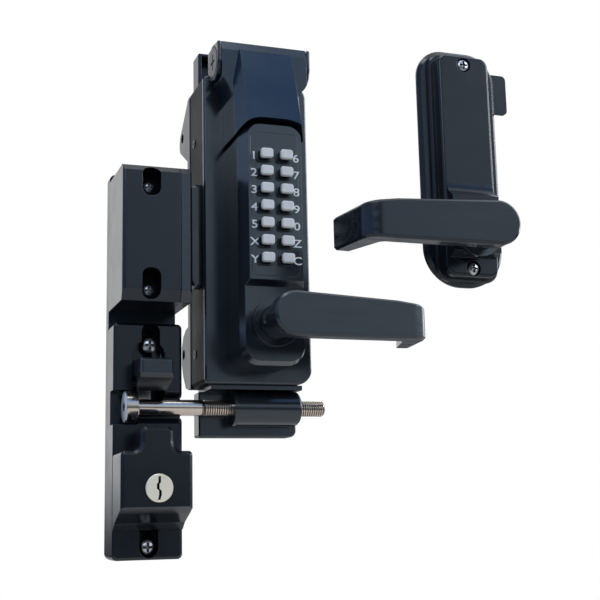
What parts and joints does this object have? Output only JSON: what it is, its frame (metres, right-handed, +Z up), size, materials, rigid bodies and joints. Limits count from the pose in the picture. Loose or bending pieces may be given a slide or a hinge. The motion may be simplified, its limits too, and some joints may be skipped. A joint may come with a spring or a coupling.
{
  "type": "keyless gate lock",
  "caption": "Black surface-mounted gate lock: post keeper with key release and catch, gate-side keypad case with hood, lever and striker bolt, and the inside lever half beside it.",
  "frame": {"origin": "on the axis of the outside lever and the spindles, at the gate frame's front face", "axes": "+X from the keeper towards the gate's hinges, +Y from the street side into the gate, +Z up"},
  "size_m": [0.2345, 0.245, 0.3323],
  "materials": {
    "black_coat": "satin",
    "steel": "satin",
    "dark_steel": "satin",
    "nickel": "satin",
    "brass": "satin",
    "grey_cap": "satin"
  },
  "bodies": {
    "lock": {"keeper_back_plate": "black_coat", "keeper_body": "black_coat", "keeper_post_screws": "dark_steel", "strike_box": "black_coat", "strike_box_side": "black_coat", "strike_box_screws": "dark_steel", "key_housing": "black_coat", "cylinder_barrel": "nickel", "catch_spring": "steel", "bolt_bracket": "black_coat", "back_plate": "black_coat", "case_body": "black_coat", "case_cover": "black_coat", "case_side_screws": "dark_steel", "edge_ears": "black_coat", "latch_case": "steel", "latch_spring": "steel", "keypad_body": "black_coat", "keypad_plate": "black_coat", "code_chamber": "brass", "button_springs": "steel", "hood": "black_coat", "hood_screws": "dark_steel", "outside_bush": "black_coat", "through_posts": "steel", "through_bolts": "steel", "inside_plate": "black_coat", "inside_cover": "black_coat", "inside_bush": "black_coat"},
    "key_plug": {"key_plug": "nickel", "release_cam": "steel"},
    "catch": {"catch_wedge": "black_coat", "catch_guide": "black_coat", "release_link": "steel"},
    "striker_bolt": {"striker_bolt": "steel"},
    "latch": {"latch_bolt": "black_coat"},
    "outside_lever": {"outside_lever": "black_coat", "outside_set_screw": "dark_steel", "outside_spindle": "steel"},
    "spindle": {"inside_spindle": "steel", "retractor_cam": "steel"},
    "inside_lever": {"inside_lever": "black_coat", "inside_set_screw": "dark_steel"},
    "button_1": {"button_1": "grey_cap"},
    "button_2": {"button_2": "grey_cap"},
    "button_3": {"button_3": "grey_cap"},
    "button_4": {"button_4": "grey_cap"},
    "button_5": {"button_5": "grey_cap"},
    "button_x": {"button_x": "grey_cap"},
    "button_y": {"button_y": "grey_cap"},
    "button_6": {"button_6": "grey_cap"},
    "button_7": {"button_7": "grey_cap"},
    "button_8": {"button_8": "grey_cap"},
    "button_9": {"button_9": "grey_cap"},
    "button_0": {"button_0": "grey_cap"},
    "button_z": {"button_z": "grey_cap"},
    "button_c": {"button_c": "grey_cap"}
  },
  "joints": [
    {"name": "key_turn", "type": "hinge", "parent": "lock", "child": "key_plug", "pos_m": [-0.0666, -0.04, -0.0967], "axis": [0, 1, 0], "range_deg": [0, 90]},
    {"name": "catch_slide", "type": "slide", "parent": "lock", "child": "catch", "axis": [0, 0, -1], "range_m": [0, 0.009], "deforming": ["catch_spring"]},
    {"name": "striker_adjust", "type": "slide", "parent": "lock", "child": "striker_bolt", "axis": [1, 0, 0], "range_m": [-0.006, 0.0004]},
    {"name": "inside_lever_turn", "type": "hinge", "parent": "lock", "child": "inside_lever", "pos_m": [0.1095, -0.14, 0.049], "axis": [0, -1, 0], "range_deg": [0, 45], "stiffness_Nm_per_rad": 1.2, "springref_deg": -22.92},
    {"name": "spindle_turn", "type": "hinge", "parent": "lock", "child": "spindle", "pos_m": [0, 0.02, 0], "axis": [0, 1, 0], "range_deg": [0, 45]},
    {"name": "latch_slide", "type": "slide", "parent": "lock", "child": "latch", "axis": [1, 0, 0], "range_m": [0, 0.008]},
    {"name": "outside_lever_turn", "type": "hinge", "parent": "lock", "child": "outside_lever", "pos_m": [0, -0.09, 0], "axis": [0, 1, 0], "range_deg": [0, 45], "stiffness_Nm_per_rad": 1.2, "springref_deg": -22.92},
    {"name": "press_1", "type": "slide", "parent": "lock", "child": "button_1", "axis": [0, 1, 0], "range_m": [0, 0.0025], "stiffness_N_per_m": 300, "springref_m": -0.002},
    {"name": "press_2", "type": "slide", "parent": "lock", "child": "button_2", "axis": [0, 1, 0], "range_m": [0, 0.0025], "stiffness_N_per_m": 300, "springref_m": -0.002},
    {"name": "press_3", "type": "slide", "parent": "lock", "child": "button_3", "axis": [0, 1, 0], "range_m": [0, 0.0025], "stiffness_N_per_m": 300, "springref_m": -0.002},
    {"name": "press_4", "type": "slide", "parent": "lock", "child": "button_4", "axis": [0, 1, 0], "range_m": [0, 0.0025], "stiffness_N_per_m": 300, "springref_m": -0.002},
    {"name": "press_5", "type": "slide", "parent": "lock", "child": "button_5", "axis": [0, 1, 0], "range_m": [0, 0.0025], "stiffness_N_per_m": 300, "springref_m": -0.002},
    {"name": "press_x", "type": "slide", "parent": "lock", "child": "button_x", "axis": [0, 1, 0], "range_m": [0, 0.0025], "stiffness_N_per_m": 300, "springref_m": -0.002},
    {"name": "press_y", "type": "slide", "parent": "lock", "child": "button_y", "axis": [0, 1, 0], "range_m": [0, 0.0025], "stiffness_N_per_m": 300, "springref_m": -0.002},
    {"name": "press_6", "type": "slide", "parent": "lock", "child": "button_6", "axis": [0, 1, 0], "range_m": [0, 0.0025], "stiffness_N_per_m": 300, "springref_m": -0.002},
    {"name": "press_7", "type": "slide", "parent": "lock", "child": "button_7", "axis": [0, 1, 0], "range_m": [0, 0.0025], "stiffness_N_per_m": 300, "springref_m": -0.002},
    {"name": "press_8", "type": "slide", "parent": "lock", "child": "button_8", "axis": [0, 1, 0], "range_m": [0, 0.0025], "stiffness_N_per_m": 300, "springref_m": -0.002},
    {"name": "press_9", "type": "slide", "parent": "lock", "child": "button_9", "axis": [0, 1, 0], "range_m": [0, 0.0025], "stiffness_N_per_m": 300, "springref_m": -0.002},
    {"name": "press_0", "type": "slide", "parent": "lock", "child": "button_0", "axis": [0, 1, 0], "range_m": [0, 0.0025], "stiffness_N_per_m": 300, "springref_m": -0.002},
    {"name": "press_z", "type": "slide", "parent": "lock", "child": "button_z", "axis": [0, 1, 0], "range_m": [0, 0.0025], "stiffness_N_per_m": 300, "springref_m": -0.002},
    {"name": "press_c", "type": "slide", "parent": "lock", "child": "button_c", "axis": [0, 1, 0], "range_m": [0, 0.0025], "stiffness_N_per_m": 300, "springref_m": -0.002}
  ],
  "couplings": [
    {"joint": "key_turn", "follows": "catch_slide", "rad_per_m": 174.53},
    {"joint": "spindle_turn", "follows": "inside_lever_turn", "ratio": 1},
    {"joint": "latch_slide", "follows": "inside_lever_turn", "m_per_rad": 0.0101}
  ]
}
